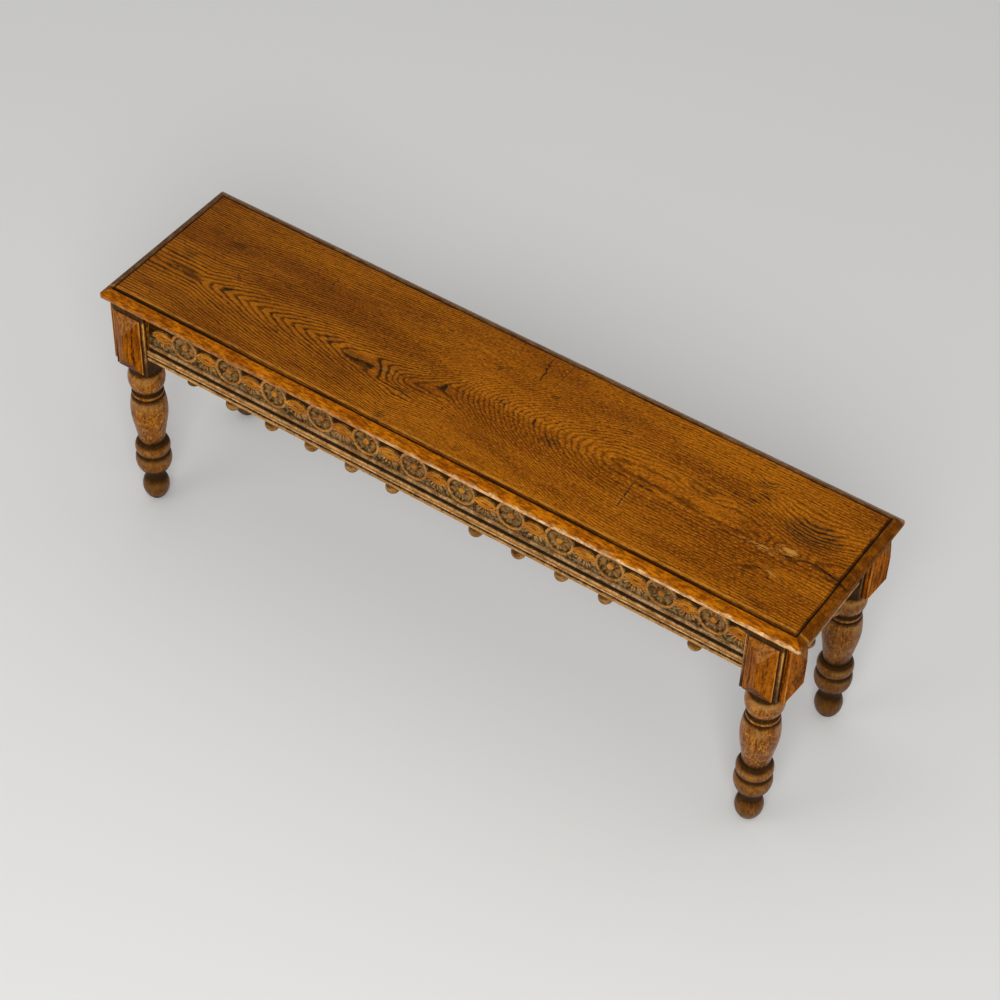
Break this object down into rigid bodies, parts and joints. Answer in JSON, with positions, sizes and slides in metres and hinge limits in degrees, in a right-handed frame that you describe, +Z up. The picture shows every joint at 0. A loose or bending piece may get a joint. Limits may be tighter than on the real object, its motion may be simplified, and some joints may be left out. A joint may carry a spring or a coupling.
{
  "type": "hall bench",
  "caption": "Long oak hall bench with a moulded plank seat, carved ring frieze, faceted corner blocks, small turned drops and turned legs on ball feet.",
  "frame": {"origin": "on the floor, under the middle of the whole bench in plan", "axes": "+X along the bench to the right as seen from its front, +Y to the back, +Z up"},
  "size_m": [1.22, 0.314, 0.437],
  "materials": {
    "seat_oak": "waxed, worn",
    "leg_oak": "waxed, glossy",
    "carved_oak": "dull, darkened in the hollows",
    "strip_oak": "waxed",
    "drop_oak": "waxed",
    "facet_oak": "waxed, glossy",
    "hidden_oak": "bare, unfinished",
    "screw_steel": "dull"
  },
  "bodies": {
    "root": {"seat_top": "seat_oak", "leg_front_left": "leg_oak", "leg_front_right": "leg_oak", "leg_back_left": "leg_oak", "leg_back_right": "leg_oak", "rail_front": "carved_oak", "rail_left": "carved_oak", "rail_right": "carved_oak", "rail_back": "hidden_oak", "strip_front": "strip_oak", "strip_left": "strip_oak", "strip_right": "strip_oak", "drops_front": "drop_oak", "drops_left": "drop_oak", "drops_right": "drop_oak", "facet_front_left": "facet_oak", "facet_front_right": "facet_oak", "facet_end_front_left": "facet_oak", "facet_end_front_right": "facet_oak", "facet_end_back_left": "facet_oak", "facet_end_back_right": "facet_oak", "glue_blocks_front": "hidden_oak", "glue_blocks_back": "hidden_oak", "glue_block_left": "hidden_oak", "glue_block_right": "hidden_oak", "seat_screws": "screw_steel"}
  },
  "joints": []
}
